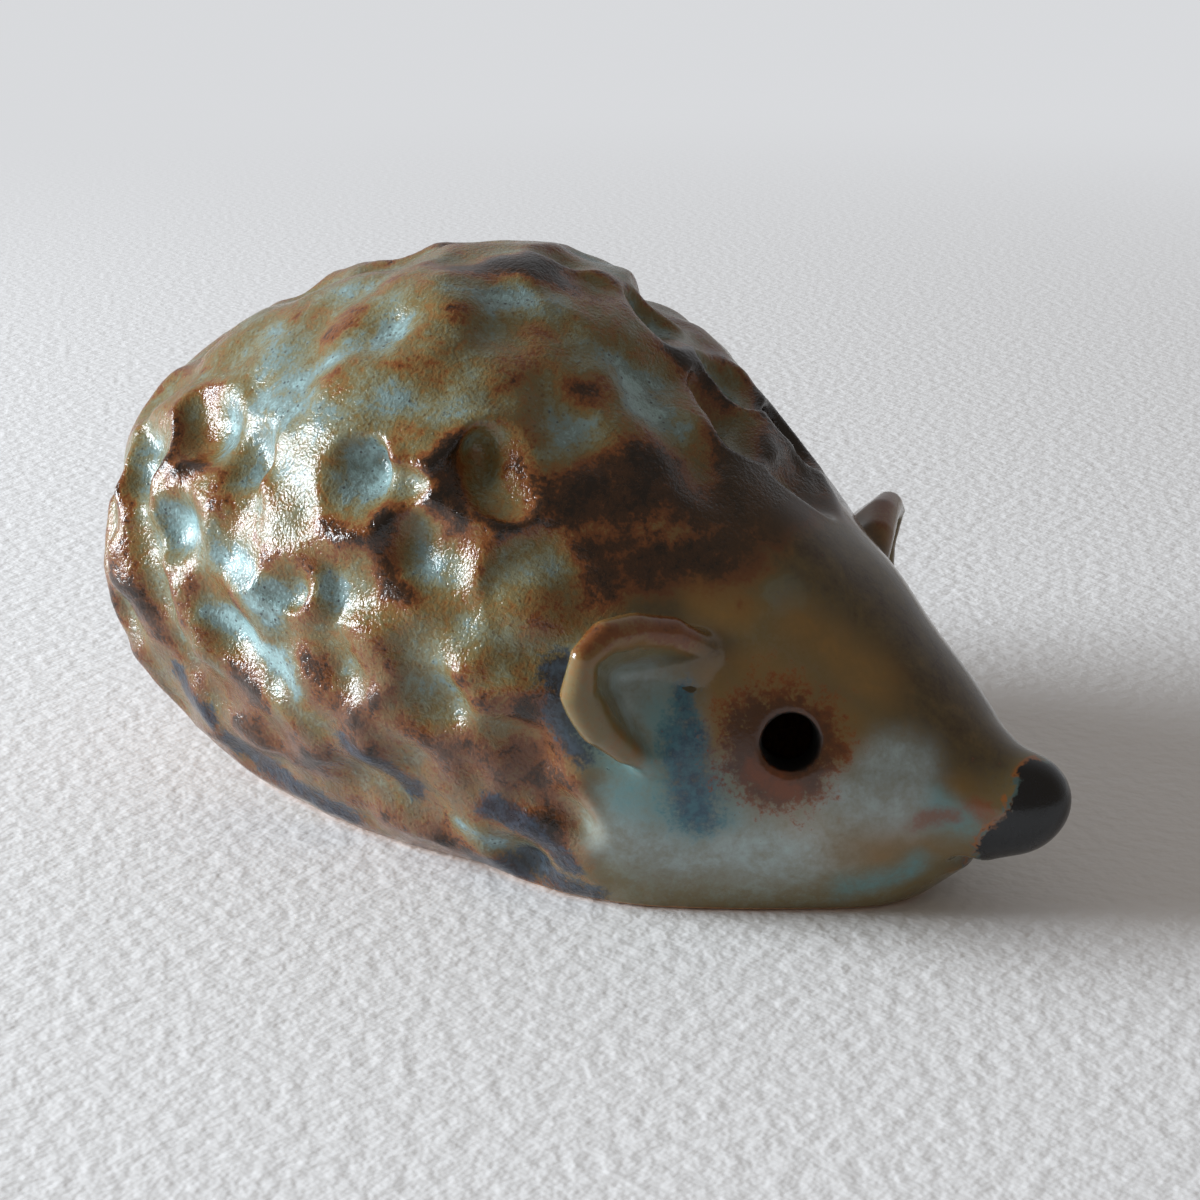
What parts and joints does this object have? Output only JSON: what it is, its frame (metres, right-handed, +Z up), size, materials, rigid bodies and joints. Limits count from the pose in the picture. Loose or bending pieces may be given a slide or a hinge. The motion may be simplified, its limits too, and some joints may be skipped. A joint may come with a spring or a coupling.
{
  "type": "hedgehog figurine",
  "caption": "Small hollow hedgehog ornament in glazed stoneware, with a thumb-pressed back, pointed snout, cupped ears and pierced eyes, standing on a flat base.",
  "frame": {"origin": "on the resting face, under the middle of the animal's length and width", "axes": "+X towards the nose, +Y to the animal's left, +Z up"},
  "size_m": [0.092, 0.0534, 0.0504],
  "materials": {
    "quill_glaze": "glossy reactive glaze, rust brown on the ridges and blue-green where it pools",
    "face_glaze": "glossy olive glaze running to pale blue on the cheeks",
    "nose_glaze": "glossy blue-black glaze",
    "bare_stoneware": "matt fired clay, unglazed"
  },
  "bodies": {
    "root": {"back_shell": "quill_glaze", "face_shell": "face_glaze", "base_slab": "quill_glaze", "right_ear": "face_glaze", "left_ear": "face_glaze", "nose_tip": "nose_glaze", "seam_coil": "bare_stoneware", "floor_coil": "bare_stoneware"}
  },
  "joints": []
}
